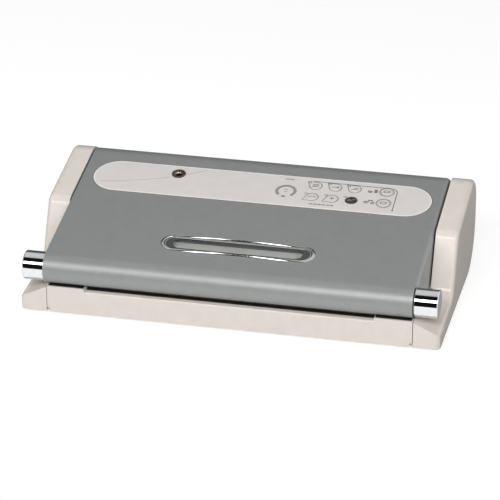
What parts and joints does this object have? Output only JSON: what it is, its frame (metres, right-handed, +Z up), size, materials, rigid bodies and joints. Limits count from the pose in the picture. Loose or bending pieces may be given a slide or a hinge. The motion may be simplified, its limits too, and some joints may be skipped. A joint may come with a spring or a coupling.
{
  "type": "vacuum sealer",
  "caption": "Table-top bag vacuum sealer: hinged metallic lid with window and control panel over a deck with vacuum channel and sealing bar, two end caps, sprung release buttons.",
  "frame": {"origin": "on the ground under the feet, in the middle of the width and depth", "axes": "+X to the right of someone facing the machine, +Y to its rear, +Z up"},
  "size_m": [0.423, 0.228, 0.097],
  "materials": {
    "cream_plastic": "satin moulded",
    "lid_paint": "fine metallic grey",
    "liner_plastic": "moulded",
    "panel_film": "printed film",
    "key_plastic": "satin",
    "dark_plastic": "moulded",
    "clear_plastic": "clear",
    "lamp_plastic": "translucent",
    "chrome": "polished",
    "steel": "plain",
    "pump_metal": "cast",
    "copper": "enamelled wire",
    "board": "lacquered",
    "black_rubber": "soft",
    "silicone": "soft",
    "bar_plastic": "heat resistant",
    "tape": "coated glass cloth"
  },
  "bodies": {
    "base": {"base_housing": "cream_plastic", "bottom_plate": "liner_plastic", "rubber_feet": "black_rubber", "base_screws": "steel", "seal_bar": "bar_plastic", "heater_ribbon": "steel", "release_tape": "tape", "lower_gasket": "black_rubber", "suction_nipple": "dark_plastic", "suction_hose": "silicone", "pump_motor": "steel", "pump_head": "pump_metal", "pump_mounts": "black_rubber", "transformer_core": "steel", "transformer_coil": "copper", "main_board": "board", "board_components": "dark_plastic", "vent_valve": "dark_plastic", "vacuum_switch": "dark_plastic", "cord_gland": "dark_plastic", "left_end_cap": "cream_plastic", "right_end_cap": "cream_plastic", "left_hinge_plate": "dark_plastic", "right_hinge_plate": "dark_plastic", "left_hinge_pin": "steel", "right_hinge_pin": "steel", "left_keeper": "steel", "right_keeper": "steel"},
    "lid": {"lid_shell": "lid_paint", "lid_liner": "liner_plastic", "window_lens": "clear_plastic", "inner_window": "clear_plastic", "control_overlay": "panel_film", "panel_board": "board", "key_switches": "dark_plastic", "status_leds": "lamp_plastic", "accessory_port": "dark_plastic", "port_hose": "silicone", "upper_gasket": "black_rubber", "pressure_strip": "silicone", "left_hinge_bush": "dark_plastic", "right_hinge_bush": "dark_plastic", "left_latch_guide": "liner_plastic", "right_latch_guide": "liner_plastic", "left_button_spring": "steel", "right_button_spring": "steel"},
    "left_release": {"left_release_button": "chrome", "left_latch_slider": "dark_plastic"},
    "right_release": {"right_release_button": "chrome", "right_latch_slider": "dark_plastic"},
    "top_key_1_body": {"top_key_1": "key_plastic"},
    "top_key_2_body": {"top_key_2": "key_plastic"},
    "top_key_3_body": {"top_key_3": "key_plastic"},
    "top_key_4_body": {"top_key_4": "key_plastic"},
    "bottom_key_1_body": {"bottom_key_1": "key_plastic"},
    "bottom_key_2_body": {"bottom_key_2": "key_plastic"},
    "start_key_body": {"start_key": "dark_plastic"},
    "bottom_key_4_body": {"bottom_key_4": "key_plastic"}
  },
  "joints": [
    {"name": "lid_hinge", "type": "hinge", "parent": "base", "child": "lid", "pos_m": [0, 0.0865, 0.0695], "axis": [-1, 0, 0], "range_deg": [0, 75]},
    {"name": "right_button_slide", "type": "slide", "parent": "lid", "child": "right_release", "axis": [-1, 0, 0], "range_m": [0, 0.005], "stiffness_N_per_m": 600, "springref_m": -0.001, "deforming": ["right_button_spring"]},
    {"name": "left_button_slide", "type": "slide", "parent": "lid", "child": "left_release", "axis": [1, 0, 0], "range_m": [0, 0.005], "stiffness_N_per_m": 600, "springref_m": -0.001, "deforming": ["left_button_spring"]},
    {"name": "top_key_1_press", "type": "slide", "parent": "lid", "child": "top_key_1_body", "axis": [0, 0.1858, -0.9826], "range_m": [0, 0.0006], "stiffness_N_per_m": 800, "springref_m": -0.0003},
    {"name": "top_key_2_press", "type": "slide", "parent": "lid", "child": "top_key_2_body", "axis": [0, 0.1858, -0.9826], "range_m": [0, 0.0006], "stiffness_N_per_m": 800, "springref_m": -0.0003},
    {"name": "top_key_3_press", "type": "slide", "parent": "lid", "child": "top_key_3_body", "axis": [0, 0.1858, -0.9826], "range_m": [0, 0.0006], "stiffness_N_per_m": 800, "springref_m": -0.0003},
    {"name": "top_key_4_press", "type": "slide", "parent": "lid", "child": "top_key_4_body", "axis": [0, 0.1858, -0.9826], "range_m": [0, 0.0006], "stiffness_N_per_m": 800, "springref_m": -0.0003},
    {"name": "bottom_key_1_press", "type": "slide", "parent": "lid", "child": "bottom_key_1_body", "axis": [0, 0.1858, -0.9826], "range_m": [0, 0.0006], "stiffness_N_per_m": 800, "springref_m": -0.0003},
    {"name": "bottom_key_2_press", "type": "slide", "parent": "lid", "child": "bottom_key_2_body", "axis": [0, 0.1858, -0.9826], "range_m": [0, 0.0006], "stiffness_N_per_m": 800, "springref_m": -0.0003},
    {"name": "start_key_press", "type": "slide", "parent": "lid", "child": "start_key_body", "axis": [0, 0.1858, -0.9826], "range_m": [0, 0.0006], "stiffness_N_per_m": 800, "springref_m": -0.0003},
    {"name": "bottom_key_4_press", "type": "slide", "parent": "lid", "child": "bottom_key_4_body", "axis": [0, 0.1858, -0.9826], "range_m": [0, 0.0006], "stiffness_N_per_m": 800, "springref_m": -0.0003}
  ]
}
